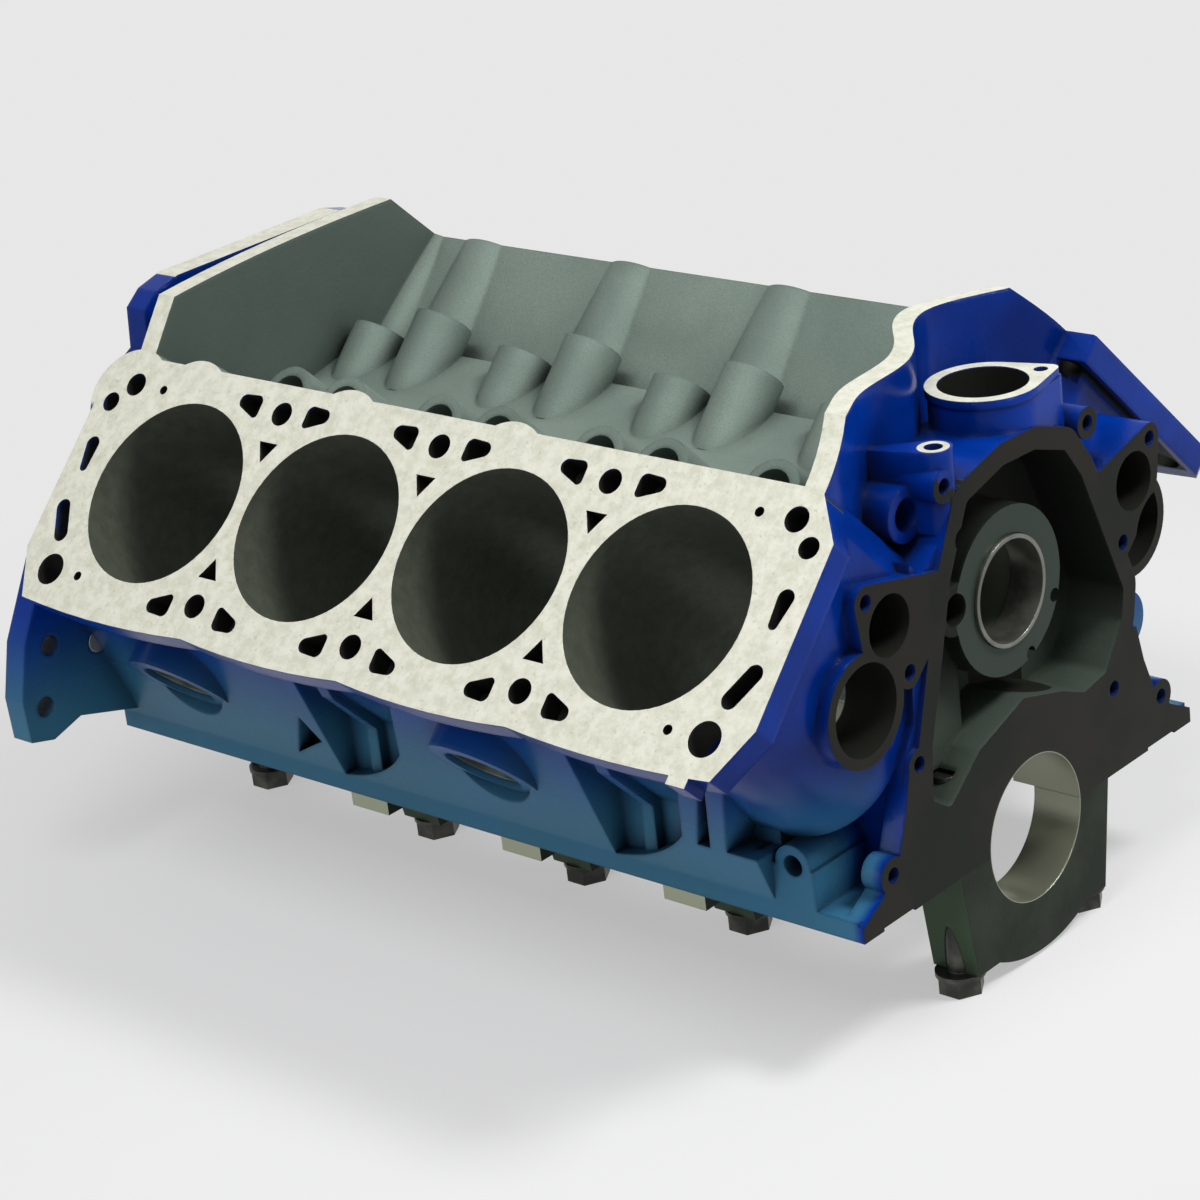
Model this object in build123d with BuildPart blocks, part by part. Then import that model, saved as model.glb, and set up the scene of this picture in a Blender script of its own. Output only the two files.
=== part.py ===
"""V8 engine block: one iron casting with its bolted main caps, cam bearings, core plugs and dowels.

The crank axis lies along X at Y = 0 and Z = 0, with the centre main at X = 0.
+X is the timing end, -Y the forward bank and +Z up.
"""
import os
from math import cos, radians, sin

from build123d import *

os.makedirs("parts", exist_ok=True)

# Overall layout
bore_diameter = 101.6
bore_spacing = 111.25
cylinders_per_bank = 4
deck_height = 233.7
bank_offset = 21.4
block_length = 515.5
bank_angle = 90

# Crank and cam tunnels
main_bore_diameter = 74.7
main_width = 27.4
web_thickness = 21
cam_height = 124
cam_bore_diameter = 56
lifter_bore_diameter = 22.2
lifter_pair_spacing = 42
lifter_boss_radius = 16.5
lifter_boss_drop = 61
lifter_boss_length = 50
lifter_boss_step = 13
near_boss_step = 7
far_lifter_shift = 12
lifter_ridge = 80
lifter_ledge = 15
column_radius = 26
column_proud = 4
column_tilt = 5
column_shift = 13
corner_column_u = 226

# Decks, measured from the line of bore centres
deck_inner = 70
deck_outer = 72
deck_scallop = 3
deck_corner_inner = 17
deck_corner_outer = 13
far_deck_trim = 11
far_deck_inset = 7
deck_side_low = 45
deck_side_high = 46
bank_depth = 116
tab_u = 217
tab_width = 11
tab_rise = 6
bank_wall = 61
head_boss_radius = 11
head_boss_depth = 36
bank_corner = 42
end_wall_rise = 36
end_wall_thickness = 12
rear_wall_bow = 12
front_wall_path = [
    (18, -130, 12),
    (19.5, -95, 12),
    (34, -64, 12),
    (41, -19, 12),
    (52, 2, 12),
    (72, 28, 12),
    (78, 45, 11),
    (71, 71, 8),
    (57, 96, 8),
    (50, 124, 8),
]

# Crankcase
rail_half_width = 137
rail_height = 10
panel_top_y = 165.5
panel_top_z = panel_top_y - bank_wall * 2**0.5
pocket_wall_y = 128.5
pocket_starts = (340, 152)
pocket_length = 72
pocket_corner = 56
pocket_rib = 18
pocket_rib_width = 8
pocket_rib_height = 6
notch_start = 371
groove_start = 88
groove_foot = 35
case_half_width = 122
case_roof = 148
barrel_wall = 6
barrel_depth = 139
valley_floor = 160
valley_floor_half_width = 13
rail_bolt_y = 129
rail_bolt_hole = 7
rail_bolt_depth = 8
rail_bolt_pitch = 80
rail_bolt_count = 7

# Deck holes
head_bolt_offset = 54
head_bolt_hole = 13
head_dowel_hole = 17.5
deck_hole_depth = 22
passage_depth = 13
pin_hole = 5
pin_hole_u = 201

# Timing end
chest_depth_near = 17
chest_depth_far = 34
chest_step_y = -30
gasket_width = 11
chest_shell_depth = 50
foot_plate_depth = 12
skirt_setback = 27
mount_pad_length = 25
mount_pad_top = 30
front_web_half_width = 96
ear_radius = 8
cover_hole_size = 8
cover_hole_depth = 18
coolant_hole = 30
coolant_y = 99
coolant_z = 145.6
front_core_hole = 45
front_core_boss = 56
front_core_y = 120.6
front_core_z = 112
far_core_setback = 17
far_boss_y = 121
far_boss_z = 57
far_boss_diameter = 32
far_boss_setback = 25
front_pad_depth = 30
bank_end_setback = 7
deck_plate = 15
cam_boss_diameter = 84
cam_boss_setback = 6
gallery_hole = 16
distributor_from_front = 28
distributor_y = 21
distributor_z = 219
distributor_hole = 44
distributor_boss = 56
distributor_rim = 6
distributor_rim_height = 4
distributor_ear_x = 17
distributor_ear_y = 29
sender_from_front = 9
sender_y = -45
sender_z = 212
sender_boss = 18
sender_hole = 9
gallery_plug_y = -63
gallery_plug_z = 184
gallery_plug_boss = 27
gallery_plug_hole = 16
gallery_plug_setback = 14

# Bellhousing end
flange_thickness = 15
flange_hole = 11.5
flange_below_deck = 20
flange_dowel_y = 158
flange_dowel_z = 62

# Engine mount bosses
mount_from_front = 39
mount_z = 31
mount_boss = 21
mount_hole = 11
mount_boss_length = 55
small_mount_from_front = 59.5

# Side core plugs
plug_diameter = 41
plug_boss_diameter = 60
plug_shift = 24
plug_height = 146
plug_boss_rise = 5
plug_recess = 3
plug_cup = 9
plug_wall = 2

# Main caps and bolts
cap_half_width = 62
cap_taper = 8
cap_depth = 57
cap_crown = 66
cap_seat_inner = 37
wing_half_width = 98
wing_depth = 35
inner_bolt_y = 51
outer_bolt_y = 81
rail_relief = 1.5
outer_seat_depth = 25
bolt_pocket = 26.6
bolt_diameter = 12.6
bolt_hole_clearance = 0.4
bolt_head_flats = 20.6
bolt_head_height = 8.5
bolt_washer_diameter = 25
bolt_washer_thickness = 2.5
bolt_reach = 48

# Cam bearings and dowels
bearing_wall = 2.4
bearing_width = 19
fit_clearance = 0.3
dowel_diameter = 12.7
dowel_length = 26

# Derived places
half_length = block_length / 2
lean = sin(radians(bank_angle / 2))
rise = cos(radians(bank_angle / 2))
near, far = -1, 1
sides = (near, far)
bank_end = half_length - bank_offset / 2
bore_radius = bore_diameter / 2
barrel_radius = bore_radius + barrel_wall
lifter_line = cam_height * rise
lifter_top = deck_height - lifter_boss_drop
bank_root = deck_height - bank_depth
deck_pitch = range(-cylinders_per_bank, cylinders_per_bank + 1)
head_bolt_u = [i * bore_spacing / 2 for i in deck_pitch[::2]]
bore_u = [i * bore_spacing / 2 for i in deck_pitch[1::2]]
mid_u = head_bolt_u[1:-1]
plug_u = [u - plug_shift for u in bore_u[::2]]
main_x = [half_length - main_width / 2] + mid_u[::-1] + [main_width / 2 - half_length]


def bank_plane(side, height):
    """Plane square to one bank's bores, with x along the bank and y up towards the valley."""
    return Plane(
        origin=(-side * bank_offset / 2, side * height * lean, height * rise),
        x_dir=(-side, 0, 0),
        z_dir=(0, side * lean, rise),
    )


def bank_point(across, height):
    """Y and Z of a point of the far bank, given across the bank and along its bores."""
    return (height * lean - across * rise, height * rise + across * lean)


def plug_plane(side, u, proud):
    """Plane of a core plug boss on the outside of one bank, facing down and out."""
    y, z = bank_point(-deck_outer - proud, plug_height)
    return Plane(
        origin=(u - side * bank_offset / 2, side * y, z),
        x_dir=(1, 0, 0),
        z_dir=(0, side * rise, -lean),
    )


def bolt_places(index):
    """Distances from the crank axis of the bolts on each side of one main cap."""
    return (inner_bolt_y,) if index in (0, len(main_x) - 1) else (inner_bolt_y, outer_bolt_y)


def cross_plane(x):
    """Plane across the block, with x along +Y and y along +Z."""
    return Plane.YZ.offset(x)


def both_sides(points):
    """Outline of half a section closed with its mirror image."""
    return points + [(-y, z) for y, z in reversed(points)]


def slot(low, high, low_radius, high_radius):
    """Slot between two round ends, each of its own size."""
    with BuildSketch() as shape:
        with Locations(low):
            Circle(low_radius)
        with Locations(high):
            Circle(high_radius)
        make_hull()
    return shape.sketch


# One deck's outline, with x along the bank and y up towards the valley
end_low = bank_end - deck_corner_outer
end_high = bank_end - deck_corner_inner
edge_stops = [end_low] + mid_u[::-1] + [-end_low]
with BuildSketch() as deck_face:
    with BuildLine():
        Polyline(
            (-end_low, -deck_outer),
            (-bank_end, -deck_side_low),
            (-bank_end, deck_side_high),
            (-end_high, deck_inner),
            (end_high, deck_inner),
            (bank_end, deck_side_high),
            (bank_end, -deck_side_low),
            (end_low, -deck_outer),
        )
        for start_u, stop_u in zip(edge_stops, edge_stops[1:]):
            middle = ((start_u + stop_u) / 2, -deck_outer - deck_scallop)
            ThreePointArc((start_u, -deck_outer), middle, (stop_u, -deck_outer))
    make_face()
    with Locations((tab_u, -deck_outer)):
        Rectangle(tab_width, 2 * tab_rise)

# The three-cornered water passage beside a head bolt
with BuildSketch() as water_hole:
    with Locations((-4.5, 2)):
        Circle(4)
    with Locations((3.5, 2.5)):
        Circle(4)
    with Locations((5, -3.5)):
        Circle(2.5)
    make_hull()

# The passages between the bores of one deck
with BuildSketch() as middle_passages:
    for u in mid_u:
        for turn in (1, -1):
            hole = water_hole.sketch if turn > 0 else water_hole.sketch.mirror(Plane.YZ)
            with Locations((u - turn * 24, 55)):
                add(hole)
            with Locations((u - turn * 24, -57)):
                add(hole.mirror(Plane.XZ))
        with Locations((u, 34)):
            RegularPolygon(7.5, 3, rotation=-90)
        with Locations((u, -35)):
            RegularPolygon(7.5, 3, rotation=90)


def end_passages(end, trim=0):
    """Passages round one end of a deck."""
    edge = end * (bank_end - 14 - trim)
    with BuildSketch() as shape:
        add(slot((edge, 4), (edge + end, 17), 2.6, 4.5))
        add(slot((edge - end * 6, -34), (edge + end, -20), 4.6, 4.6))
        with Locations((edge + end * 2, 42 - trim / 2)):
            Circle(5.5)
    return shape.sketch


def bank_limits(side):
    """How far a deck stops short at its low end, and where its valley edge lies."""
    return (far_deck_trim, deck_inner - far_deck_inset) if side == far else (0, deck_inner)


def bank_body(trim, inner):
    """Outline of a bank below its deck, its outer corners turned about the end bores."""
    low_end = trim + bank_end_setback - bank_end
    high_end = bank_end - bank_end_setback
    with BuildSketch() as shape:
        Polygon(
            (low_end, -bank_wall),
            (low_end, inner - 15),
            (low_end + 10, inner),
            (high_end - 10, inner),
            (high_end, inner - 15),
            (high_end, -bank_wall),
            align=None,
        )
        fillet(shape.vertices().sort_by(Axis.Y)[:2], bank_corner)
    return shape.sketch


flange_bolts = [(200, 40), (190, 72), (76, 224)]

# The hollow of the timing chest, seen from the front
with BuildSketch() as chest:
    with BuildLine():
        Polyline(
            (-35, 183),
            (-5, 190.5),
            (20, 189.5),
            (44, 181),
            (56, 164),
            (85, 94),
            (82, 78),
            (66, 56),
            (47, 53),
            (29, 61),
            (-2.5, 70),
            (-40, 58),
            (-65, 39),
            (-78, 48),
            (-75, 75),
            (-64, 110),
            (-52, 150),
            close=True,
        )
    make_face()
    fillet(chest.vertices(), 4.5)

# Machined gasket face round the chest, with the ears of its bolts, and the foot plate under it
cover_holes = [(-51, 196), (63.5, 188), (-86, 70.5), (72, 45)]
rail_ears = [(-112, 24.5), (112, 24.5)]
with BuildSketch() as gasket_face:
    offset(chest.sketch, gasket_width)
    with Locations(*cover_holes):
        Circle(ear_radius)
with BuildSketch() as foot_plate:
    with Locations(*rail_ears):
        Circle(9)
    Polygon(
        *both_sides(
            [
                (rail_half_width, 0),
                (rail_half_width, rail_height - 2),
                (120, 17),
                (106, 32),
                (99, 50),
                (94, 70),
            ]
        ),
        align=None,
    )
with BuildSketch() as coolant_pad:
    with Locations((coolant_y, coolant_z)):
        Circle(coolant_hole / 2 + 6)
    with Locations((coolant_y + 15.5, coolant_z + 17), (coolant_y - 12, coolant_z - 28)):
        Circle(ear_radius)
    with Locations((60, coolant_z)):
        Circle(12)
    make_hull()



def side_cut(length, outline):
    """Volume to cut from the far side wall, forward from X = 0, inside an outline seen from the side."""
    with BuildPart() as cut:
        with BuildSketch(cross_plane(0)):
            Polygon(
                (pocket_wall_y, 0),
                (pocket_wall_y, pocket_wall_top),
                (panel_top_y, panel_top_z),
                (2 * panel_top_y, panel_top_z),
                (2 * panel_top_y, 0),
                align=None,
            )
        extrude(amount=length)
        with BuildSketch(Plane.XZ):
            add(outline)
        extrude(amount=-2 * panel_top_y, mode=Mode.INTERSECT)
    return cut.part


# A pocket of the far side wall with a rib left standing in it
pocket_wall_top = pocket_wall_y + panel_top_z - panel_top_y
with BuildSketch() as pocket_outline:
    with BuildLine():
        bottom = ThreePointArc((0, rail_height), (pocket_corner * 0.6, 21), (pocket_corner, 38))
        Polyline(bottom @ 1, (pocket_length, panel_top_z), (0, panel_top_z), bottom @ 0)
    make_face()
with BuildPart() as side_pocket:
    add(side_cut(pocket_length, pocket_outline.sketch))
    with BuildSketch(cross_plane(pocket_rib)):
        Polygon(
            (pocket_wall_y, 0),
            (pocket_wall_y, pocket_wall_top),
            (panel_top_y, panel_top_z),
            (panel_top_y + pocket_rib_height, panel_top_z),
            (pocket_wall_y + pocket_rib_height, pocket_wall_top - 2),
            (pocket_wall_y + pocket_rib_height, 0),
            align=None,
        )
    extrude(amount=pocket_rib_width, mode=Mode.SUBTRACT)

# The notch behind the rear web, and the grooves that leave two leaning bars behind the mount
with BuildSketch() as notch_outline:
    Polygon((0, 17), (26, 31), (18, 46), align=None)
with BuildSketch() as groove_outline:
    Polygon((0, groove_foot), (8, groove_foot), (25, panel_top_z), (21, panel_top_z), align=None)
    Polygon((18, groove_foot), (36, groove_foot), (36, panel_top_z), align=None)

with BuildPart() as block_casting:
    # Crankcase and lifter gallery, cut back in steps towards the timing end
    gallery = [
        bank_point(deck_inner - far_deck_inset, lifter_top),
        bank_point(deck_inner - far_deck_inset, lifter_top - lifter_ledge + 3),
        bank_point(lifter_ridge, lifter_top - lifter_ledge),
        (valley_floor_half_width, valley_floor),
    ]
    panel = [(rail_half_width, 0), (rail_half_width, rail_height), (panel_top_y, panel_top_z)]
    pad_top = [(rail_half_width, mount_pad_top), (front_web_half_width, mount_pad_top)]
    rail_top = [(rail_half_width, rail_height), (front_web_half_width, rail_height)]
    front_web = [(front_web_half_width, 72), (84, 90)]
    pad_start = skirt_setback + mount_pad_length
    with BuildSketch(cross_plane(-half_length)):
        Polygon(*both_sides(panel + gallery), align=None)
    extrude(amount=block_length - pad_start)
    with BuildSketch(cross_plane(half_length - pad_start)):
        Polygon(*both_sides([(rail_half_width, 0)] + pad_top + front_web + gallery), align=None)
    extrude(amount=mount_pad_length)
    with BuildSketch(cross_plane(half_length - skirt_setback)):
        Polygon(*both_sides([(rail_half_width, 0)] + rail_top + front_web + gallery), align=None)
    extrude(amount=skirt_setback - 3)

    # Banks: a deck plate on a body that stops a little short of its ends
    for side in sides:
        trim, inner = bank_limits(side)
        with BuildSketch(bank_plane(side, deck_height)):
            add(deck_face.sketch)
            with Locations((trim - bank_end, inner)):
                Rectangle(2 * bank_end, 4 * deck_outer, align=(Align.MIN, Align.MAX), mode=Mode.INTERSECT)
        extrude(amount=-deck_plate)
        with BuildSketch(bank_plane(side, deck_height)):
            add(bank_body(trim, inner))
        extrude(amount=-bank_depth)
        with BuildSketch(bank_plane(side, deck_height)):
            with Locations(*[(u, -head_bolt_offset) for u in mid_u]):
                Circle(head_boss_radius)
        extrude(amount=-head_boss_depth)

    # Lifter bosses, the rear one of each far pair lower, and the columns up the valley walls
    for side in sides:
        shift = far_lifter_shift if side == far else 0
        for turn in (-1, 1):
            step = near_boss_step if side == near else lifter_boss_step * (turn + 1) / 2
            with BuildSketch(bank_plane(side, lifter_top - step)):
                with Locations(*[(u + shift + turn * lifter_pair_spacing / 2, lifter_line) for u in bore_u]):
                    Circle(lifter_boss_radius)
            extrude(amount=-lifter_boss_length)
        trim, inner = bank_limits(side)
        column_y, column_z = bank_point(inner + column_proud - column_radius, deck_height)
        column_angle = radians(bank_angle / 2 + column_tilt)
        column_plane = Plane(
            origin=(-side * bank_offset / 2, side * column_y, column_z),
            x_dir=(-side, 0, 0),
            z_dir=(0, side * sin(column_angle), cos(column_angle)),
        )
        with BuildSketch(column_plane):
            with Locations(*[(side * u, 0) for u in [u + column_shift for u in bore_u[1:]] + [corner_column_u]]):
                Circle(column_radius)
        extrude(amount=-lifter_boss_drop - 14)

    # End walls of the valley, the front one winding round behind the distributor
    wall_top = deck_height * rise + (deck_inner + end_wall_rise) * lean
    wall_foot = valley_floor - 15
    wall_span = wall_top * 0.5
    with BuildSketch(Plane.XY.offset(wall_foot)):
        with BuildLine():
            front_edge = Spline(*[(half_length - x, y) for x, y, wall in front_wall_path])
            back_edge = Spline(*[(half_length - x - wall, y) for x, y, wall in front_wall_path])
            Line(front_edge @ 0, back_edge @ 0)
            Line(front_edge @ 1, back_edge @ 1)
        make_face()
    extrude(amount=wall_top - wall_foot)
    with BuildSketch(Plane.XY.offset(wall_foot)):
        with BuildLine():
            paths = [
                ThreePointArc(
                    (x + bank_offset / 2, -wall_span),
                    (x - rear_wall_bow, wall_span * 0.1),
                    (x - bank_offset / 2, wall_span),
                )
                for x in (1 - end_high, end_wall_thickness + 1 - end_high)
            ]
            Line(paths[0] @ 0, paths[1] @ 0)
            Line(paths[0] @ 1, paths[1] @ 1)
        make_face()
    extrude(amount=wall_top - wall_foot)

    # Timing chest shell, foot plate and the bosses beside them
    with BuildSketch(cross_plane(half_length)):
        add(gasket_face.sketch)
    extrude(amount=-chest_shell_depth)
    with BuildSketch(cross_plane(half_length)):
        add(foot_plate.sketch)
    extrude(amount=-foot_plate_depth)
    with BuildSketch(cross_plane(half_length)):
        add(coolant_pad.sketch)
        add(coolant_pad.sketch.mirror(Plane.YZ))
        with Locations((-front_core_y, front_core_z)):
            Circle(front_core_boss / 2)
    extrude(amount=-front_pad_depth)
    with BuildSketch(cross_plane(half_length - far_core_setback)):
        with Locations((front_core_y, front_core_z)):
            Circle(front_core_boss / 2)
    extrude(amount=-front_pad_depth)
    with BuildSketch(cross_plane(half_length - far_boss_setback)):
        with Locations((far_boss_y, far_boss_z)):
            Circle(far_boss_diameter / 2)
    extrude(amount=-front_pad_depth)

    # Distributor mounting, the boss in front of it and the gallery plug boss beside the chest
    distributor_x = half_length - distributor_from_front
    sender_x = half_length - sender_from_front
    with BuildSketch(Plane.XY.offset(distributor_z - distributor_rim_height)):
        with Locations((distributor_x, distributor_y)):
            Circle(distributor_boss / 2 - 1)
        with Locations((distributor_x - 10, distributor_y + 12)):
            Circle(distributor_boss / 2 - 4)
        with Locations((distributor_x + distributor_ear_x, distributor_y + distributor_ear_y)):
            Circle(6)
        make_hull()
    extrude(amount=-56)
    with BuildSketch(Plane.XY.offset(distributor_z)):
        with Locations((distributor_x, distributor_y)):
            Circle(distributor_hole / 2 + distributor_rim)
        with Locations((distributor_x + distributor_ear_x, distributor_y + distributor_ear_y)):
            Circle(5)
        make_hull()
    extrude(amount=-distributor_rim_height)
    with BuildSketch(Plane.XY.offset(sender_z)):
        with Locations((sender_x, sender_y)):
            Circle(sender_boss / 2)
        with Locations((sender_x - 26, sender_y - 14)):
            Circle(sender_boss / 6)
        make_hull()
    extrude(amount=-40)
    with BuildSketch(cross_plane(half_length - gallery_plug_setback)):
        with Locations((gallery_plug_y, gallery_plug_z)):
            Circle(gallery_plug_boss / 2)
    extrude(amount=-front_pad_depth)

    # Bellhousing flange
    with BuildSketch(cross_plane(-half_length)):
        Polygon(
            *both_sides(
                [
                    (rail_half_width, 0),
                    (rail_half_width, 14),
                    (178, 26),
                    (198, 20),
                    (213, 24),
                    (214, 48),
                    (206, 78),
                    bank_point(-45, deck_height - flange_below_deck),
                    bank_point(66, deck_height - flange_below_deck),
                    (90, 206),
                    (88, 228),
                    (78, 236),
                    (62, wall_top),
                ]
            ),
            align=None,
        )
    extrude(amount=flange_thickness)

    # Everything above the two decks goes
    for side in sides:
        with BuildSketch(bank_plane(side, deck_height)):
            Rectangle(2 * block_length, 4 * deck_height)
        extrude(amount=deck_height, mode=Mode.SUBTRACT)

    # Pockets, notch and grooves of the side walls
    side_cuts = [(start, side_pocket.part) for start in pocket_starts]
    side_cuts.append((notch_start, side_cut(groove_start, notch_outline.sketch)))
    side_cuts.append((groove_start, side_cut(groove_start, groove_outline.sketch)))
    for side in sides:
        for start, cut in side_cuts:
            with Locations((half_length - start - (side + 1) * bank_offset / 2, 0, 0)):
                add(cut if side == far else cut.mirror(Plane.XZ), mode=Mode.SUBTRACT)

    # Core plug bosses, facing down and out
    for side in sides:
        for u in plug_u:
            with BuildSketch(plug_plane(side, u, plug_boss_rise)):
                Circle(plug_boss_diameter / 2)
            extrude(amount=bank_wall - deck_outer - plug_boss_rise - 10)
            with BuildSketch(plug_plane(side, u, plug_boss_rise)):
                Circle(plug_diameter / 2 + 5)
            extrude(amount=plug_boss_rise * 4, mode=Mode.SUBTRACT)

    # Engine mount bosses at the timing end of the skirt
    for side in sides:
        with BuildSketch(Plane.XZ.offset(-side * rail_half_width)):
            with Locations((half_length - mount_from_front, mount_z)):
                Circle(mount_boss / 2)
        extrude(amount=side * mount_boss_length)

    # Crankcase bays between the webs
    for front_web, rear_web in zip(main_x, main_x[1:]):
        front_wall = min(front_web - web_thickness / 2, half_length - chest_depth_far - 6)
        bay = front_wall - rear_web - web_thickness / 2
        with BuildSketch(cross_plane(front_wall)):
            Polygon(
                *both_sides([(case_half_width, 0), (case_half_width, case_roof - case_half_width), (3, case_roof - 3)]),
                align=None,
            )
        extrude(amount=-bay, mode=Mode.SUBTRACT)

    # Cylinder barrels hang into the crankcase
    for side in sides:
        with BuildSketch(bank_plane(side, bank_root)):
            with Locations(*[(u, 0) for u in bore_u]):
                Circle(barrel_radius)
        extrude(amount=bank_depth - barrel_depth)

    # Saddles for the main caps
    for x in main_x:
        with BuildSketch(cross_plane(x - main_width / 2)):
            Polygon(*both_sides([(wing_half_width, 0), (wing_half_width, 8), (60, 46)]), align=None)
        extrude(amount=main_width)

    # Shallow relief between the cap seats and the pan rails
    relief_width = case_half_width - wing_half_width
    with BuildSketch():
        with GridLocations(0, case_half_width + wing_half_width, 1, 2):
            Rectangle(block_length, relief_width)
    extrude(amount=rail_relief, mode=Mode.SUBTRACT)

    # Timing chest hollow, deeper on the far side, with the cam boss left standing
    with BuildSketch(cross_plane(half_length)):
        add(chest.sketch)
    extrude(amount=-chest_depth_near, mode=Mode.SUBTRACT)
    with BuildSketch(cross_plane(half_length)):
        add(chest.sketch)
        with Locations((chest_step_y + block_length, cam_height)):
            Rectangle(2 * block_length, block_length, mode=Mode.INTERSECT)
    extrude(amount=-chest_depth_far, mode=Mode.SUBTRACT)
    with BuildSketch(cross_plane(half_length - cam_boss_setback)):
        with Locations((0, cam_height)):
            Circle(cam_boss_diameter / 2)
        with Locations((-42, 130)):
            Circle(gallery_hole / 2 + 5)
    extrude(amount=-chest_depth_far)

    # Bores, lifter bores, deck passages and bolt holes
    for side in sides:
        with BuildSketch(bank_plane(side, deck_height)):
            with Locations(*[(u, 0) for u in bore_u]):
                Circle(bore_radius)
        extrude(amount=-barrel_depth - 1, mode=Mode.SUBTRACT)
        shift = far_lifter_shift if side == far else 0
        with BuildSketch(bank_plane(side, lifter_top)):
            with Locations(*[(u + shift, lifter_line) for u in bore_u]):
                with GridLocations(lifter_pair_spacing, 0, 2, 1):
                    Circle(lifter_bore_diameter / 2)
        extrude(amount=-80, mode=Mode.SUBTRACT)
        with BuildSketch(bank_plane(side, deck_height)):
            add(middle_passages.sketch)
            add(end_passages(1))
            add(end_passages(-1, bank_limits(side)[0]))
        extrude(amount=-passage_depth, mode=Mode.SUBTRACT)
        with BuildSketch(bank_plane(side, deck_height)):
            for u in head_bolt_u:
                with Locations((u, head_bolt_offset)):
                    Circle(head_bolt_hole / 2)
                if abs(u) < pin_hole_u:
                    with Locations((u, -head_bolt_offset)):
                        Circle(head_bolt_hole / 2)
                else:
                    with Locations((u, -head_bolt_offset)):
                        Circle(head_dowel_hole / 2)
            with GridLocations(2 * pin_hole_u, 2 * head_bolt_offset, 2, 2):
                Circle(pin_hole / 2)
        extrude(amount=-deck_hole_depth, mode=Mode.SUBTRACT)

    # Crank and cam tunnels
    with BuildSketch(cross_plane(-half_length)):
        Circle(main_bore_diameter / 2)
        with Locations((0, cam_height)):
            Circle(cam_bore_diameter / 2)
    extrude(amount=block_length, mode=Mode.SUBTRACT)

    # Holes in the timing end
    with BuildSketch(cross_plane(half_length)):
        with Locations((-coolant_y, coolant_z), (coolant_y, coolant_z)):
            Circle(coolant_hole / 2)
        with Locations((-front_core_y, front_core_z), (front_core_y, front_core_z)):
            Circle(front_core_hole / 2)
    extrude(amount=-front_pad_depth - 4, mode=Mode.SUBTRACT)
    with BuildSketch(cross_plane(half_length)):
        with Locations(*cover_holes, *rail_ears):
            Circle(cover_hole_size / 2)
        for side in sides:
            with Locations((side * (coolant_y + 15.5), coolant_z + 17), (side * (coolant_y - 12), coolant_z - 28)):
                Circle(cover_hole_size / 2)
        with Locations((-42, 130)):
            Circle(gallery_hole / 2)
        with Locations((-40, 166)):
            Circle(gallery_hole / 2 - 2)
        with Locations((36, 108), (14, 86)):
            Circle(3.5)
    extrude(amount=-cover_hole_depth - 8, mode=Mode.SUBTRACT)

    # Distributor hole, the hole of its clamp, and the holes of the bosses beside it
    with BuildSketch(Plane.XY.offset(distributor_z)):
        with Locations((distributor_x, distributor_y)):
            Circle(distributor_hole / 2)
    extrude(amount=-45, mode=Mode.SUBTRACT)
    with BuildSketch(Plane.XY.offset(distributor_z)):
        with Locations((distributor_x + distributor_ear_x - 2, distributor_y + distributor_ear_y - 3)):
            Circle(3.5)
    extrude(amount=-20, mode=Mode.SUBTRACT)
    with BuildSketch(Plane.XY.offset(sender_z)):
        with Locations((sender_x, sender_y)):
            Circle(sender_hole / 2)
    extrude(amount=-12, mode=Mode.SUBTRACT)
    with BuildSketch(cross_plane(half_length - gallery_plug_setback)):
        with Locations((gallery_plug_y, gallery_plug_z)):
            Circle(gallery_plug_hole / 2)
    extrude(amount=-12, mode=Mode.SUBTRACT)

    # Core plug seats and mount holes
    for side in sides:
        for u in plug_u:
            with BuildSketch(plug_plane(side, u, plug_boss_rise)):
                Circle(plug_diameter / 2)
            extrude(amount=-plug_recess - plug_cup, mode=Mode.SUBTRACT)
        with BuildSketch(Plane.XZ.offset(-side * rail_half_width)):
            with Locations((half_length - mount_from_front, mount_z)):
                Circle(mount_hole / 2)
            with Locations((half_length - small_mount_from_front, mount_z)):
                Circle(cover_hole_size / 2)
        extrude(amount=side * 25, mode=Mode.SUBTRACT)

    # Bellhousing bolt and dowel holes
    with BuildSketch(cross_plane(-half_length)):
        for side in sides:
            with Locations(*[(side * y, z) for y, z in flange_bolts]):
                Circle(flange_hole / 2)
            with Locations((side * flange_dowel_y, flange_dowel_z)):
                Circle(dowel_diameter / 2)
    extrude(amount=flange_thickness, mode=Mode.SUBTRACT)

    # Threaded holes for the main bolts, and the pan rail bolts
    with BuildSketch():
        for index, x in enumerate(main_x):
            with Locations(*[(x, side * y) for side in sides for y in bolt_places(index)]):
                Circle((bolt_diameter + bolt_hole_clearance) / 2)
    extrude(amount=bolt_reach + 2, mode=Mode.SUBTRACT)
    with BuildSketch():
        with GridLocations(rail_bolt_pitch, 2 * rail_bolt_y, rail_bolt_count, 2):
            Circle(rail_bolt_hole / 2)
    extrude(amount=rail_bolt_depth, mode=Mode.SUBTRACT)

block_casting.part.label = "block_casting"
export_step(block_casting.part, "parts/block_casting.step")

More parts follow.
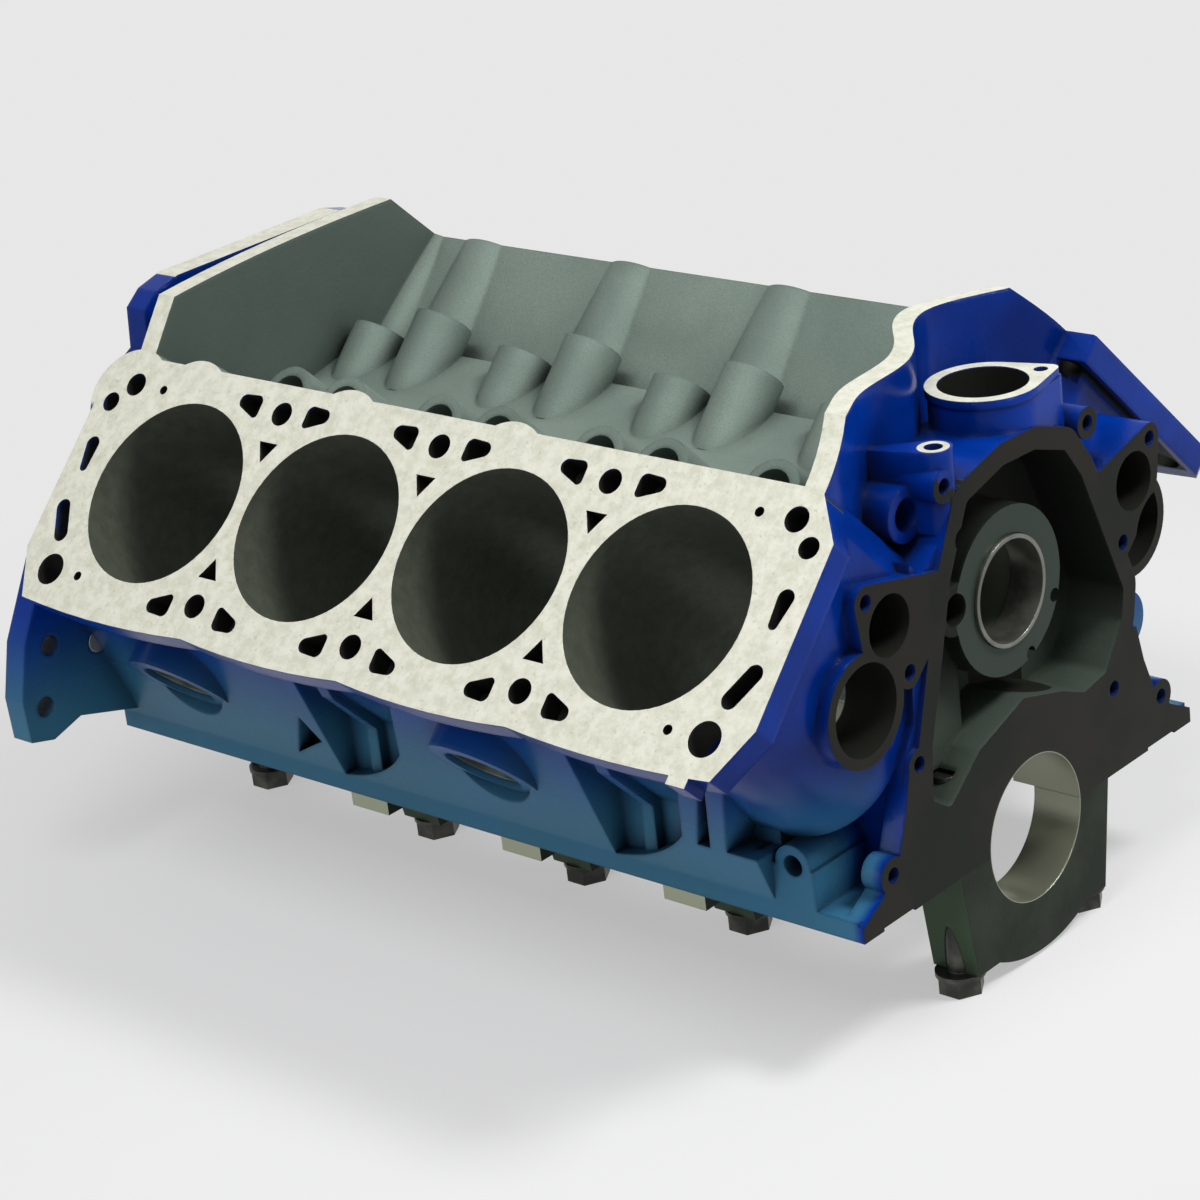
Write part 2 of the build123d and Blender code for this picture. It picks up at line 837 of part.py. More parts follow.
# Main caps: the end ones on two bolts, the others on four
for index, x in enumerate(main_x):
    four_bolt = len(bolt_places(index)) > 1
    shoulder = [(wing_half_width, 0), (wing_half_width, -wing_depth), (cap_half_width + 5, -wing_depth)]
    root = shoulder if four_bolt else [(cap_half_width, 0)]
    foot_y = cap_half_width if four_bolt else cap_half_width - cap_taper
    with BuildPart() as main_cap:
        with BuildSketch(cross_plane(x - main_width / 2)):
            with BuildLine():
                side_points = root + [(foot_y, -cap_depth), (cap_seat_inner, -cap_depth)]
                right = Polyline(*side_points)
                left = Polyline(*[(-y, z) for y, z in side_points])
                ThreePointArc(right @ 1, (0, -cap_crown), left @ 1)
                Line(right @ 0, left @ 0)
            make_face()
            Circle(main_bore_diameter / 2, mode=Mode.SUBTRACT)
        extrude(amount=main_width)
        with BuildSketch():
            with Locations(*[(x, side * y) for side in sides for y in bolt_places(index)]):
                Circle((bolt_diameter + bolt_hole_clearance) / 2)
        extrude(amount=-cap_crown, mode=Mode.SUBTRACT)
        if four_bolt:
            with BuildSketch(Plane.XY.offset(-outer_seat_depth)):
                with Locations((x, -outer_bolt_y), (x, outer_bolt_y)):
                    Circle(bolt_pocket / 2)
            extrude(amount=-wing_depth, mode=Mode.SUBTRACT)
    name = f"main_cap_{index + 1}"
    main_cap.part.label = name
    export_step(main_cap.part, f"parts/{name}.step")

# Main cap bolts: flanged hexagon heads below, shanks up into the casting
for index, x in enumerate(main_x):
    for place, y in zip(("inner", "outer"), bolt_places(index)):
        seat = -cap_depth if place == "inner" else -outer_seat_depth
        for side, side_name in zip(sides, ("near", "far")):
            with BuildPart() as main_bolt:
                with BuildSketch(Plane.XY.offset(seat)):
                    with Locations((x, side * y)):
                        Circle(bolt_washer_diameter / 2)
                extrude(amount=-bolt_washer_thickness)
                with BuildSketch(Plane.XY.offset(seat - bolt_washer_thickness)):
                    with Locations((x, side * y)):
                        RegularPolygon(bolt_head_flats / 2, 6, major_radius=False)
                extrude(amount=-bolt_head_height)
                with BuildSketch(Plane.XY.offset(seat)):
                    with Locations((x, side * y)):
                        Circle(bolt_diameter / 2)
                extrude(amount=bolt_reach - seat)
            name = f"main_bolt_{index + 1}_{side_name}_{place}"
            main_bolt.part.label = name
            export_step(main_bolt.part, f"parts/{name}.step")

# Cam bearings, one in each web
for index, x in enumerate(main_x):
    with BuildPart() as cam_bearing:
        with BuildSketch(cross_plane(x - bearing_width / 2)):
            with Locations((0, cam_height)):
                Circle(cam_bore_diameter / 2 - fit_clearance)
                Circle(cam_bore_diameter / 2 - bearing_wall, mode=Mode.SUBTRACT)
        extrude(amount=bearing_width)
    name = f"cam_bearing_{index + 1}"
    cam_bearing.part.label = name
    export_step(cam_bearing.part, f"parts/{name}.step")

# Cup-shaped core plugs in the sides
for side, side_name in zip(sides, ("near", "far")):
    for number, u in enumerate(plug_u):
        with BuildPart() as core_plug:
            with BuildSketch(plug_plane(side, u, plug_boss_rise - plug_recess)):
                Circle(plug_diameter / 2 - fit_clearance)
            extrude(amount=-plug_cup)
            with BuildSketch(plug_plane(side, u, plug_boss_rise - plug_recess)):
                Circle(plug_diameter / 2 - plug_wall)
            extrude(amount=plug_wall - plug_cup, mode=Mode.SUBTRACT)
        name = f"core_plug_{side_name}_{number + 1}"
        core_plug.part.label = name
        export_step(core_plug.part, f"parts/{name}.step")

# Bellhousing dowels
for side, side_name in zip(sides, ("near", "far")):
    with BuildPart() as dowel:
        with BuildSketch(cross_plane(-half_length)):
            with Locations((side * flange_dowel_y, flange_dowel_z)):
                Circle(dowel_diameter / 2 - fit_clearance)
        extrude(amount=flange_thickness)
        with BuildSketch(cross_plane(-half_length)):
            with Locations((side * flange_dowel_y, flange_dowel_z)):
                Circle(dowel_diameter / 2)
        extrude(amount=flange_thickness - dowel_length)
        chamfer(dowel.faces().sort_by(Axis.X)[0].edges(), 1)
    name = f"bellhousing_dowel_{side_name}"
    dowel.part.label = name
    export_step(dowel.part, f"parts/{name}.step")
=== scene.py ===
import math

import bmesh
import bpy
from mathutils import Matrix, Vector

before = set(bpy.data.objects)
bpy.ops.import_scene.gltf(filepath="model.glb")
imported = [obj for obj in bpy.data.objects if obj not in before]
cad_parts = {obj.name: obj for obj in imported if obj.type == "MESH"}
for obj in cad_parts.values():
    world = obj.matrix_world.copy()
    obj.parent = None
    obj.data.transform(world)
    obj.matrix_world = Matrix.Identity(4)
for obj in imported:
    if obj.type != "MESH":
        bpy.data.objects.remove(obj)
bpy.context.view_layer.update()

# The block in millimetres: +X is the timing end, -Y the near bank, +Z up, and the crank axis lies at Y = Z = 0
MM = 0.001
HALF_LENGTH = 257.75
CRANK_BORE_RADIUS = 37.35
CAM_AXIS = (0, 124)
CAM_FACE_X = 251.75

# The banks: heights along the bores, lengths from the middle of a bank, and widths from its bores' axes
LEAN = math.sqrt(0.5)
BANK_OFFSET = 21.4
DECK = 233.7
PLATE_FOOT = DECK - 16
PASSAGE_FOOT = DECK - 60
BORE_SPACING = 111.25
BORE_RADIUS = 50.8
BORE_FOOT = 94.2
HALF_ROW = 2 * BORE_SPACING
HEAD_DOWEL = (HALF_ROW, -54)
PLATE_END = {-1: 242.5, 1: 233.5}
PLATE_INNER_EDGE = {-1: 68, 1: 61.5}

# The timing end. Each front hole has its Y and Z and its radius, a little over the hole's own;
# the distributor and the sender stand upright and have X and Y.
FAR_CORE_FACE_X = 240.75
FRONT_HOLES = (((-120.6, 112), 22.9), ((120.6, 112), 22.9), ((-99, 145.6), 15.3), ((99, 145.6), 15.3))
DISTRIBUTOR = (229.75, 21)
DISTRIBUTOR_TOP = 219
SENDER = (248.75, -45)
SENDER_TOP = 212

# The valley's end walls. FRONT_WALL is the line of the front one's outer face: a share of the way from near to far,
# and how far back it lies from the front, as a share of the reach. The paint ends a setback behind that line.
WALL_TOP = 240
FRONT_WALL_NEAR_Y = -130
FRONT_WALL_FAR_Y = 124
FRONT_WALL_SETBACK = 5
FRONT_WALL_REACH = 100
FRONT_WALL = (
    (0.000, 0.180), (0.138, 0.195), (0.260, 0.340), (0.437, 0.410), (0.520, 0.520),
    (0.622, 0.720), (0.689, 0.780), (0.791, 0.710), (0.890, 0.570), (1.000, 0.500),
)
REAR_WALL_X = -236
REAR_WALL_BOW = 12
REAR_WALL_HALF_WIDTH = 120

IRON_SPECULAR = 0.10
SEEN_RAYS = ("Is Camera Ray", "Is Glossy Ray", "Is Transmission Ray")


def grey(value):
    return (value, value, value)


class Graph:
    """The nodes of a material or a world, written as calls."""

    def __init__(self, owner, output="ShaderNodeOutputMaterial"):
        self.owner = owner
        owner.use_nodes = True
        self.tree = owner.node_tree
        self.tree.nodes.clear()
        self.out = self.node(output)

    def node(self, kind, **settings):
        made = self.tree.nodes.new(kind)
        for key, value in settings.items():
            setattr(made, key, value)
        return made

    def put(self, socket, value):
        if isinstance(value, bpy.types.NodeSocket):
            self.tree.links.new(value, socket)
        elif isinstance(value, (tuple, list)) and len(value) == 3 and socket.type == "RGBA":
            socket.default_value = (*value, 1)
        else:
            socket.default_value = value

    def coordinates(self, kind):
        return self.node("ShaderNodeTexCoord").outputs[kind]

    def parts(self, vector):
        """The X, Y and Z of a vector."""
        split = self.node("ShaderNodeSeparateXYZ")
        self.put(split.inputs[0], vector)
        return split.outputs

    def math(self, operation, *values):
        made = self.node("ShaderNodeMath", operation=operation)
        for socket, value in zip(made.inputs, values):
            self.put(socket, value)
        return made.outputs[0]

    def measure(self, operation, *vectors):
        """The number that DOT_PRODUCT or LENGTH makes of vectors."""
        made = self.node("ShaderNodeVectorMath", operation=operation)
        for socket, value in zip(made.inputs, vectors):
            self.put(socket, value)
        return made.outputs["Value"]

    def length(self, first, second):
        squares = [self.math("POWER", part, 2.0) for part in (first, second)]
        return self.math("SQRT", self.math("ADD", *squares))

    def step(self, value, start, end):
        """0 at start and 1 at end, smooth between, whichever of the two is larger."""
        made = self.node("ShaderNodeMapRange", interpolation_type="SMOOTHSTEP")
        for socket, given in zip(made.inputs, (value, start, end, 0.0, 1.0)):
            self.put(socket, given)
        return made.outputs[0]

    def over(self, value, limit, soft=0.5):
        """1 where value is over a limit in millimetres."""
        return self.step(value, (limit - soft) * MM, (limit + soft) * MM)

    def below(self, value, limit, soft=0.5):
        """1 where value is below a limit in millimetres."""
        return self.step(value, (limit + soft) * MM, (limit - soft) * MM)

    def within(self, value, low, high, soft=0.2):
        """1 where value lies between two limits in millimetres."""
        return self.both(self.over(value, low, soft), self.below(value, high, soft))

    def around(self, first, second, centre, radius):
        """1 within a radius of a centre, in the plane of two coordinates; both in millimetres."""
        gaps = [self.math("ADD", part, -at * MM) for part, at in zip((first, second), centre)]
        return self.below(self.length(*gaps), radius, 0.2)

    def both(self, *values):
        """1 where all the values are 1."""
        result = values[0]
        for value in values[1:]:
            result = self.math("MULTIPLY", result, value)
        return result

    def either(self, *values):
        """1 where any of the values is 1."""
        result = values[0]
        for value in values[1:]:
            result = self.math("MAXIMUM", result, value)
        return result

    def less(self, first, *others):
        """first where all the others are 0."""
        return self.both(first, *(self.math("SUBTRACT", 1.0, other) for other in others))

    def mix(self, factor, first, second):
        """A colour between first and second."""
        made = self.node("ShaderNodeMix", data_type="RGBA")
        self.put(made.inputs["Factor"], factor)
        colours = [socket for socket in made.inputs if socket.type == "RGBA"]
        self.put(colours[0], first)
        self.put(colours[1], second)
        return next(socket for socket in made.outputs if socket.type == "RGBA")

    def blend(self, factor, first, second):
        """A number between first and second."""
        made = self.node("ShaderNodeMix", data_type="FLOAT")
        for index, value in ((0, factor), (2, first), (3, second)):
            self.put(made.inputs[index], value)
        return made.outputs[0]

    def noise(self, place, scale, detail, roughness):
        made = self.node("ShaderNodeTexNoise")
        self.put(made.inputs["Vector"], place)
        self.put(made.inputs["Scale"], scale)
        self.put(made.inputs["Detail"], detail)
        self.put(made.inputs["Roughness"], roughness)
        return made.outputs["Fac"]

    def ramp(self, value, stops):
        """The level that a value has on a line through stops, each a place and its level."""
        made = self.node("ShaderNodeValToRGB")
        elements = made.color_ramp.elements
        while len(elements) < len(stops):
            elements.new(0.5)
        for element, (place, level) in zip(elements, stops):
            element.position = place
            element.color = (*grey(level), 1)
        self.put(made.inputs[0], value)
        return made.outputs[0]

    def surface(self, height, strength, depth, corner, samples):
        """The normal of a rough surface with rounded corners; depth and corner are in metres."""
        rounded = self.node("ShaderNodeBevel", samples=samples)
        self.put(rounded.inputs["Radius"], corner)
        bump = self.node("ShaderNodeBump")
        self.put(bump.inputs["Strength"], strength)
        self.put(bump.inputs["Distance"], depth)
        self.put(bump.inputs["Height"], height)
        self.put(bump.inputs["Normal"], rounded.outputs[0])
        return bump.outputs[0]

    def finish(self, **given):
        """Put out a Principled shader with the given inputs, an underscore for each space in their names."""
        shader = self.node("ShaderNodeBsdfPrincipled")
        for name, value in given.items():
            self.put(shader.inputs[name.replace("_", " ")], value)
        self.put(self.out.inputs["Surface"], shader.outputs[0])
        return self.owner

    def seen(self):
        """1 where a ray shows the surface or backdrop itself, also in a mirror or through glass."""
        rays = self.node("ShaderNodeLightPath").outputs
        return self.either(*(rays[kind] for kind in SEEN_RAYS))

    def choose(self, factor, first, second):
        """Put out a mix of two shaders."""
        shader = self.node("ShaderNodeMixShader")
        for socket, value in zip(shader.inputs, (factor, first, second)):
            self.put(socket, value)
        self.put(self.out.inputs["Surface"], shader.outputs[0])
        return self.owner


def bank_masks(g, place, normal, x, open_sky, side):
    """One bank's milled deck, all that is as high as its deck plate, its honed bores and its openings, which are
    painted dark as shade.
    """
    up = (0.0, side * LEAN, LEAN)
    height = g.measure("DOT_PRODUCT", place, up)
    facing = g.measure("DOT_PRODUCT", normal, up)
    across = g.measure("DOT_PRODUCT", place, (0.0, -side * LEAN, LEAN))
    along = g.math("ADD", g.math("MULTIPLY", x, -side), -BANK_OFFSET / 2 * MM)
    from_middle = g.math("ABSOLUTE", along)

    deck = g.both(g.within(height, DECK - 0.8, DECK + 1), g.step(facing, 0.9, 0.95))
    plate = g.over(height, PLATE_FOOT - 0.5)

    past_bore = g.math("FLOORED_MODULO", along, BORE_SPACING * MM)
    from_axis = g.length(g.math("SUBTRACT", past_bore, BORE_SPACING / 2 * MM), across)
    bore = g.both(
        g.below(from_middle, HALF_ROW, 0.1),
        g.step(from_axis, (BORE_RADIUS + 0.5) * MM, (BORE_RADIUS + 0.15) * MM),
        g.over(height, BORE_FOOT, 0.3),
    )

    # Water passages, bolt holes and dowel seats: through the deck plate, below it, and the edge round them on top
    narrow = g.step(open_sky, 0.94, 0.88)
    clear_of_ends = g.both(g.below(from_middle, HALF_ROW + 10), g.over(across, -64))
    in_plate = g.both(
        g.within(height, PLATE_FOOT - 0.6, DECK - 1.2),
        g.within(across, -68, PLATE_INNER_EDGE[side]),
        g.below(from_middle, PLATE_END[side]),
        g.either(narrow, clear_of_ends),
    )
    deep = g.within(height, PASSAGE_FOOT, PLATE_FOOT)
    in_bank = g.both(deep, g.within(across, -48, 58), g.below(from_middle, HALF_ROW - 2), narrow)
    dowel_seat = g.both(deep, g.around(from_middle, across, HEAD_DOWEL, 9.1), narrow)
    lip = g.both(
        g.step(facing, 0.9, 0.8),
        g.over(height, DECK - 1.2, 0.1),
        g.below(from_middle, PLATE_END[1]),
        g.within(across, -62.9, 58),
    )
    return deck, plate, bore, g.either(in_plate, in_bank, dowel_seat, lip)


def casting_material():
    """Blue enamel on rough iron outside, bare iron inside, machined metal on decks, faces and bores."""
    g = Graph(bpy.data.materials.new("cast_block"))
    place = g.coordinates("Object")
    normal = g.coordinates("Normal")
    x, y, z = g.parts(place)
    nx, _, nz = g.parts(normal)
    abs_y = g.math("ABSOLUTE", y)
    faces_front = g.step(nx, 0.9, 0.95)
    faces_up = g.step(nz, 0.93, 0.97)

    # 1 in the open, less in corners, and near 0 in small holes; below, it paints shade into the colours
    shade = g.node("ShaderNodeAmbientOcclusion", samples=2)
    g.put(shade.inputs["Distance"], 14 * MM)
    open_sky = shade.outputs["AO"]

    # What a tool has touched: decks, bores, end faces, underside, crank tunnel and the tops of the end walls
    decks, plates, bores, openings = zip(*(bank_masks(g, place, normal, x, open_sky, side) for side in (-1, 1)))
    deck = g.either(*decks)
    plate = g.either(*plates)
    bore = g.less(g.either(*bores), deck)
    above_chest = g.over(z, 205.5)
    sender_boss = g.around(y, z, (SENDER[1], 204), 11)
    front = g.both(g.over(x, HALF_LENGTH - 0.3, 0.1), faces_front)
    front = g.less(front, g.either(plate, above_chest, sender_boss))
    far_core_face = g.within(x, FAR_CORE_FACE_X - 0.45, FAR_CORE_FACE_X + 0.45, 0.1)
    setback = g.both(far_core_face, faces_front, g.over(y, 81, 1))
    rear = g.both(g.below(x, -HALF_LENGTH + 0.3, 0.1), g.step(nx, -0.9, -0.95))
    under = g.both(g.below(z, 0.3, 0.1), g.step(nz, -0.9, -0.95))
    tunnel = g.below(g.length(y, z), CRANK_BORE_RADIUS + 0.4, 0.15)
    wall_top = g.both(g.over(z, WALL_TOP - 0.25, 0.15), g.step(nz, 0.9, 0.95))

    # The distributor seat, the sender's pad in front of it and the holes of the timing end
    seat = g.both(g.over(x, 191, 1), faces_up, g.within(z, DISTRIBUTOR_TOP - 0.4, DISTRIBUTOR_TOP + 0.4))
    pad = g.both(g.around(x, y, SENDER, 7.6), faces_up, g.within(z, SENDER_TOP - 0.4, SENDER_TOP + 0.4))
    shaft_hole = g.both(g.around(x, y, DISTRIBUTOR, 22.4), g.below(z, DISTRIBUTOR_TOP - 0.45, 0.15))
    front_holes = g.either(*(g.around(y, z, centre, radius) for centre, radius in FRONT_HOLES))
    front_holes = g.both(g.over(x, 197, 1), front_holes)
    cam_plane = g.within(x, CAM_FACE_X - 0.55, CAM_FACE_X + 0.55)
    cam_face = g.both(g.around(y, z, CAM_AXIS, 42.2), cam_plane, faces_front)
    cam_hole = g.both(g.around(y, z, CAM_AXIS, 28.3), g.below(x, CAM_FACE_X - 0.35, 0.2))

    # Where the iron is bare: the valley between its end walls, the crankcase and the timing chest
    wall_span = (FRONT_WALL_FAR_Y - FRONT_WALL_NEAR_Y) * MM
    from_near = g.math("DIVIDE", g.math("ADD", y, -FRONT_WALL_NEAR_Y * MM), wall_span)
    set_in = g.math("MULTIPLY", g.ramp(from_near, FRONT_WALL), -FRONT_WALL_REACH * MM)
    front_wall = g.math("ADD", (HALF_LENGTH - FRONT_WALL_SETBACK) * MM, set_in)
    arc = g.math("POWER", g.math("DIVIDE", y, REAR_WALL_HALF_WIDTH * MM), 2.0)
    skew = g.math("MULTIPLY", y, -BANK_OFFSET / 2 / REAR_WALL_HALF_WIDTH)
    rear_wall = g.math("ADD", REAR_WALL_X * MM, skew)
    rear_wall = g.math("ADD", rear_wall, g.math("MULTIPLY", arc, REAR_WALL_BOW * MM))
    valley = g.both(
        g.below(g.math("SUBTRACT", x, front_wall), 0),
        g.over(g.math("SUBTRACT", x, rear_wall), 0),
        g.over(g.math("ADD", z, y), 97),
        g.over(g.math("SUBTRACT", z, y), 84.5),
        g.over(z, 140.5),
    )
    crankcase = g.both(
        g.below(abs_y, 123.5),
        g.below(g.math("ADD", z, abs_y), 151),
        g.below(x, 221.5),
        g.over(x, -249.5),
    )
    # The chest lies between two leaning lines, and draws in again towards its far lower corner
    near_lean = g.math("ADD", g.math("MULTIPLY_ADD", z, -0.33, 103.4 * MM), y)
    far_lean = g.math("ADD", g.math("MULTIPLY_ADD", z, 0.471, -134.8 * MM), y)
    far_foot = g.math("ADD", g.math("MULTIPLY", z, -0.727), y)
    chest = g.both(
        g.over(near_lean, 0),
        g.below(far_lean, 0),
        g.below(far_foot, 30.8),
        g.below(y, 90.5),
        g.within(z, 36, 194),
        g.over(x, 222, 0.2),
    )
    machined_dark = g.either(front, setback)
    machined_grey = g.either(rear, under)
    polished = g.either(deck, wall_top, seat, pad)
    machined = g.either(machined_dark, machined_grey, polished, tunnel, cam_face)
    # Holes, tight corners and openings: below they are laid near black as painted shade, and they count as bare iron
    deeply_shaded = g.step(open_sky, 0.42, 0.28)
    shaded_recess = g.less(g.either(shaft_hole, front_holes, deeply_shaded, *openings), polished, bore)
    bare = g.either(valley, crankcase, chest, bore, shaded_recess)

    # Colours: each kind of surface first, then all of them laid over the paint
    grain = g.noise(place, 1500.0, 2.0, 0.5)
    broad = g.noise(place, 14.0, 3.0, 0.5)
    spots = g.noise(place, 130.0, 4.0, 0.7)
    pits = g.noise(place, 420.0, 2.0, 0.6)
    # Painted light: the lower sides are laid a lighter grey-blue for the pale floor's light and reflection on the
    # enamel; they are rougher too
    floor_lit_skirt = g.both(g.step(abs_y, 95 * MM, 122 * MM), g.step(z, 100 * MM, 20 * MM), g.step(x, 257 * MM, 250 * MM))
    paint = g.mix(g.step(broad, 0.35, 0.7), (0.0003, 0.014, 0.135), (0.0006, 0.028, 0.250))
    paint = g.mix(g.both(floor_lit_skirt, 0.8), paint, (0.038, 0.150, 0.215))
    # Painted shade: the paint goes near black in corners and holes
    paint = g.mix(g.step(open_sky, 0.75, 0.25), paint, (0.0003, 0.005, 0.035))
    iron = g.mix(g.step(broad, 0.25, 0.75), (0.130, 0.170, 0.148), (0.185, 0.232, 0.202))
    iron = g.mix(g.both(g.step(grain, 0.35, 0.7), 0.4), iron, (0.085, 0.112, 0.096))
    # Painted shade: the bare iron goes darker in corners and holes
    iron = g.mix(g.step(open_sky, 0.85, 0.25), iron, (0.035, 0.046, 0.039))
    # Painted shade: the valley's rear wall, which faces the timing end and away from the light, is laid darker
    shaded_rear_wall = g.both(valley, g.step(nx, 0.5, 0.9), g.step(x, -200 * MM, -210 * MM), 0.75)
    iron = g.mix(shaded_rear_wall, iron, (0.06, 0.078, 0.068))
    # Painted shade: inside the timing chest the iron is near black, and darker towards the bottom
    chest_shade = g.mix(g.step(z, 100 * MM, 62 * MM), (0.010, 0.012, 0.010), (0.048, 0.064, 0.050))
    iron = g.mix(chest, iron, chest_shade)
    # Painted shade: holes and recesses near black
    iron = g.mix(shaded_recess, iron, (0.012, 0.013, 0.010))
    hone = g.mix(g.step(spots, 0.25, 0.75), (0.085, 0.098, 0.076), (0.120, 0.134, 0.104))
    dark = g.mix(g.step(broad, 0.35, 0.65), (0.006, 0.009, 0.006), (0.014, 0.012, 0.009))
    dull = g.mix(g.step(spots, 0.3, 0.7), (0.075, 0.078, 0.066), (0.12, 0.122, 0.105))
    light = g.mix(g.step(spots, 0.30, 0.66), (0.50, 0.50, 0.41), (0.62, 0.62, 0.54))
    light = g.mix(g.both(g.step(pits, 0.62, 0.74), 0.5), light, (0.34, 0.33, 0.27))
    colour = paint
    for mask, laid in (
        (bare, iron),
        (bore, hone),
        (machined_dark, dark),
        (machined_grey, dull),
        (cam_face, (0.030, 0.042, 0.034)),
        (cam_hole, (0.10, 0.115, 0.085)),
        (tunnel, (0.30, 0.31, 0.24)),
        (polished, light),
    ):
        colour = g.mix(mask, colour, laid)

    metal_shares = ((bare, 0.25), (machined_dark, 0.35), (polished, 0.3), (bore, 0.45), (tunnel, 0.8))
    metal = g.either(*(g.both(mask, share) for mask, share in metal_shares))
    milled = g.blend(g.noise(place, 900.0, 3.0, 0.6), 0.38, 0.6)
    rough = g.blend(floor_lit_skirt, 0.16, 0.32)
    for mask, value in ((bare, 0.58), (bore, 0.38), (machined, 0.36), (polished, milled)):
        rough = g.blend(mask, rough, value)

    # Sand-cast skin on everything that no tool has touched, and wider rounded corners there
    cast = g.less(g.math("SUBTRACT", 1.0, machined), bore, shaded_recess)
    sand = g.math("MULTIPLY", g.noise(place, 420.0, 4.0, 0.65), 0.6)
    sand = g.math("ADD", sand, g.math("MULTIPLY", g.noise(place, 60.0, 2.0, 0.5), 0.8))
    strength = g.both(cast, g.blend(bare, 0.32, 0.5))
    skin = g.surface(sand, strength, 0.7 * MM, g.blend(cast, 0.5 * MM, 3.2 * MM), 2)
    return g.finish(Base_Color=colour, Metallic=metal, Roughness=rough, Normal=skin, Specular_IOR_Level=IRON_SPECULAR)


def cap_material():
    """Dark iron caps with a machined crank bore and lighter sawn sides."""
    g = Graph(bpy.data.materials.new("cap_iron"))
    place = g.coordinates("Object")
    _, y, z = g.parts(place)
    _, ny, _ = g.parts(g.coordinates("Normal"))
    sideways = g.step(g.math("ABSOLUTE", ny), 0.9, 0.97)
    tip = g.both(sideways, g.over(g.math("ABSOLUTE", y), 96.75, 0.25))
    bore = g.below(g.length(y, z), CRANK_BORE_RADIUS + 0.4, 0.15)
    broad = g.noise(place, 30.0, 3.0, 0.6)
    colour = g.mix(g.step(broad, 0.3, 0.7), (0.012, 0.018, 0.012), (0.026, 0.034, 0.024))
    colour = g.mix(g.both(sideways, 0.6), colour, (0.060, 0.095, 0.058))
    colour = g.mix(tip, colour, (0.42, 0.45, 0.33))
    colour = g.mix(bore, colour, (0.30, 0.31, 0.24))
    metal = g.blend(bore, 0.45, 0.8)
    rough = g.blend(g.either(bore, tip), g.blend(broad, 0.40, 0.55), 0.34)
    skin = g.surface(g.noise(place, 600.0, 3.0, 0.6), 0.4, 0.2 * MM, 0.9 * MM, 4)
    return g.finish(Base_Color=colour, Metallic=metal, Roughness=rough, Normal=skin, Specular_IOR_Level=IRON_SPECULAR)


def metal_material(name, low, high, roughness, metallic):
    """Bare metal with mottling and a fine surface."""
    g = Graph(bpy.data.materials.new(name))
    place = g.coordinates("Object")
    broad = g.noise(place, 60.0, 3.0, 0.6)
    colour = g.mix(g.step(broad, 0.35, 0.68), low, high)
    rough = g.blend(broad, roughness - 0.07, roughness + 0.1)
    skin = g.surface(g.noise(place, 700.0, 3.0, 0.6), 0.4, 0.15 * MM, 0.8 * MM, 4)
    return g.finish(Base_Color=colour, Metallic=metallic, Roughness=rough, Normal=skin)


# What the names of nodes begin with, their material slot and their material
FINISHES = {
    "block_casting": ("casting", casting_material()),
    "main_cap": ("caps", cap_material()),
    "main_bolt": ("bolts", metal_material("bolt_steel", (0.035, 0.036, 0.032), (0.09, 0.09, 0.08), 0.35, 0.8)),
    "cam_bearing": ("bearing", metal_material("bearing_metal", (0.13, 0.135, 0.115), (0.21, 0.215, 0.185), 0.3, 0.8)),
    "core_plug": ("plugs", metal_material("plug_steel", (0.10, 0.12, 0.10), (0.19, 0.21, 0.18), 0.35, 0.7)),
    "bellhousing_dowel": (
        "dowels",
        metal_material("dowel_steel", (0.32, 0.32, 0.30), (0.45, 0.45, 0.43), 0.28, 0.9),
    ),
}
for name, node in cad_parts.items():
    slot, material = next(found for start, found in FINISHES.items() if name.startswith(start))
    node.data.materials.clear()
    node.data.materials.append(material)

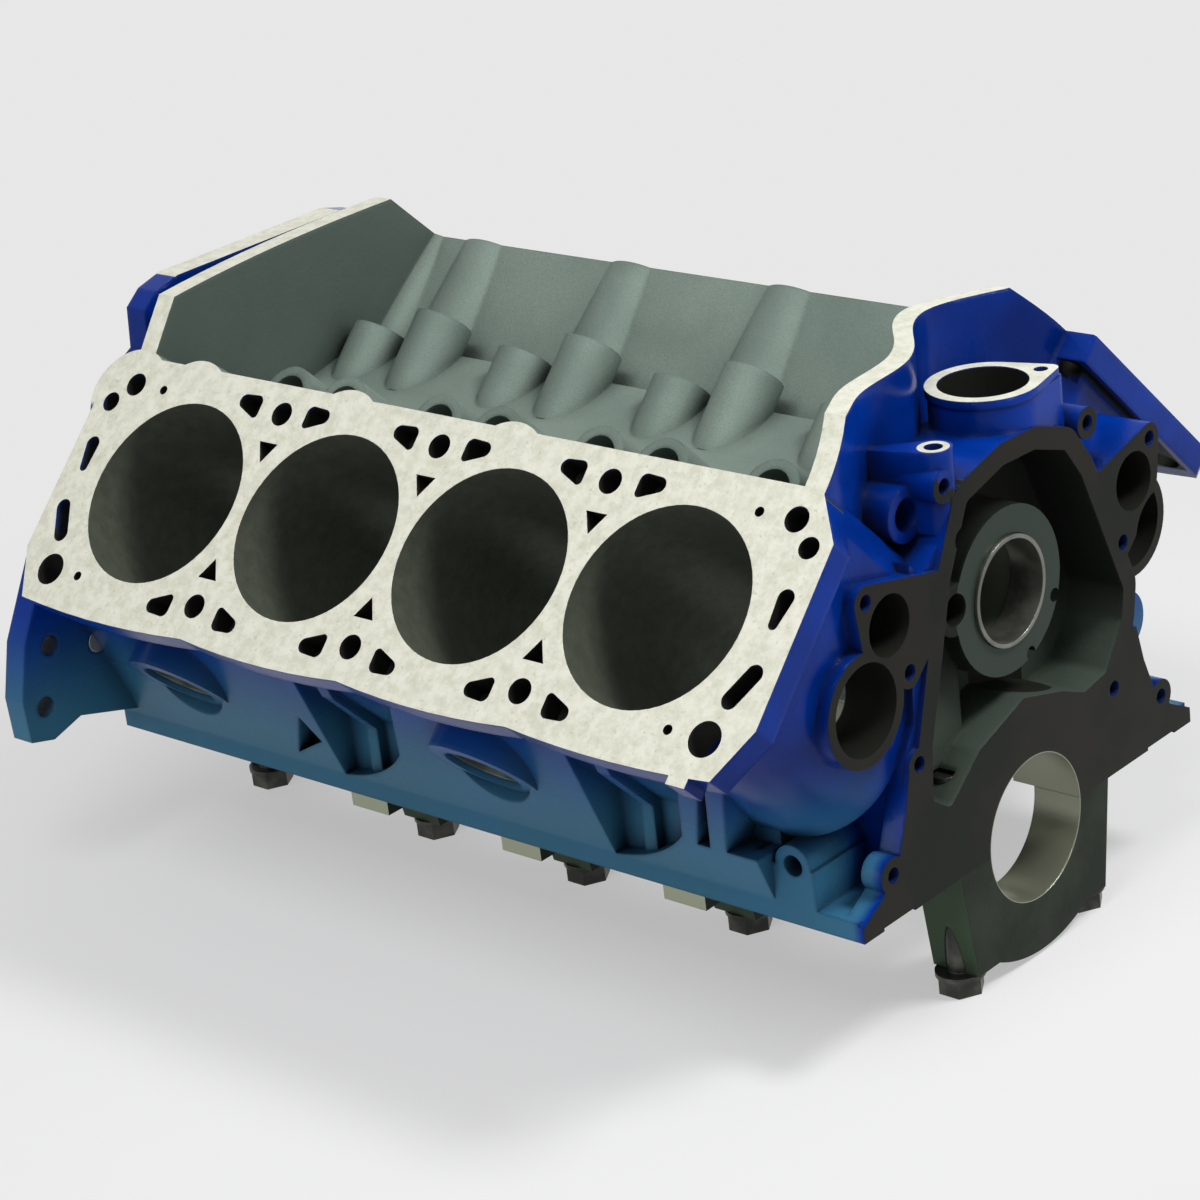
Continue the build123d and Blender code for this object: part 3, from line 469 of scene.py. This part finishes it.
# Floor: lit by the lamps near the block, so that it keeps the shadow, and of one pale colour farther off
mesh = bpy.data.meshes.new("floor")
form = bmesh.new()
bmesh.ops.create_grid(form, x_segments=1, y_segments=1, size=6.0)
form.to_mesh(mesh)
form.free()
floor = bpy.data.objects.new("floor", mesh)
bpy.context.scene.collection.objects.link(floor)
floor.location = (0, 0, -0.0682)
g = Graph(bpy.data.materials.new("floor_paper"))
paper = g.node("ShaderNodeBsdfDiffuse")
g.put(paper.inputs["Color"], grey(0.67))
glow = g.node("ShaderNodeEmission")
g.put(glow.inputs["Color"], grey(0.80))
g.put(glow.inputs["Strength"], 1.0)
away = g.step(g.measure("LENGTH", g.coordinates("Object")), 0.30, 0.75)
glow_share = g.both(g.seen(), g.blend(away, 0.55, 1.0))
mesh.materials.append(g.choose(glow_share, paper.outputs[0], glow.outputs[0]))

# World: soft light on the block, and a pale backdrop where it is seen or mirrored
g = Graph(bpy.data.worlds.new("studio"), "ShaderNodeOutputWorld")
backgrounds = []
for level, strength in ((1.0, 0.34), (0.81, 1.0)):
    background = g.node("ShaderNodeBackground")
    g.put(background.inputs["Color"], grey(level))
    g.put(background.inputs["Strength"], strength)
    backgrounds.append(background.outputs[0])
bpy.context.scene.world = g.choose(g.seen(), *backgrounds)

# Lamps that look at the middle of the block: place, size and power
MIDDLE = Vector((0, 0, 0.1))
LAMPS = {
    "key": ((0.4, -1.2, 2.0), (1.0, 0.8), 27),
    "top": ((1.1, 0.5, 1.8), (0.5, 0.5), 38),
    "low": ((-0.6, -2.2, 0.5), (1.2, 0.6), 9),
}
for name, (place, size, power) in LAMPS.items():
    light = bpy.data.lights.new(name, "AREA")
    light.shape = "RECTANGLE"
    light.size, light.size_y = size
    light.energy = power
    lamp = bpy.data.objects.new(name, light)
    bpy.context.scene.collection.objects.link(lamp)
    lamp.location = place
    lamp.rotation_euler = (MIDDLE - Vector(place)).to_track_quat("-Z", "Y").to_euler()

# Camera at the photograph's angle: the columns are its right, up and back, and its place
lens = bpy.data.cameras.new("camera")
lens.sensor_fit = "HORIZONTAL"
lens.sensor_width = 36.0
lens.lens = 106.87
lens.clip_end = 50.0
camera = bpy.data.objects.new("camera", lens)
bpy.context.scene.collection.objects.link(camera)
camera.matrix_world = Matrix(
    (
        (0.74506, -0.17390, 0.64392, 1.19605),
        (0.65761, 0.35284, -0.66562, -1.25380),
        (-0.11145, 0.91938, 0.37725, 0.77890),
        (0, 0, 0, 1),
    )
)
bpy.context.scene.camera = camera
bpy.context.scene.view_settings.view_transform = "Standard"
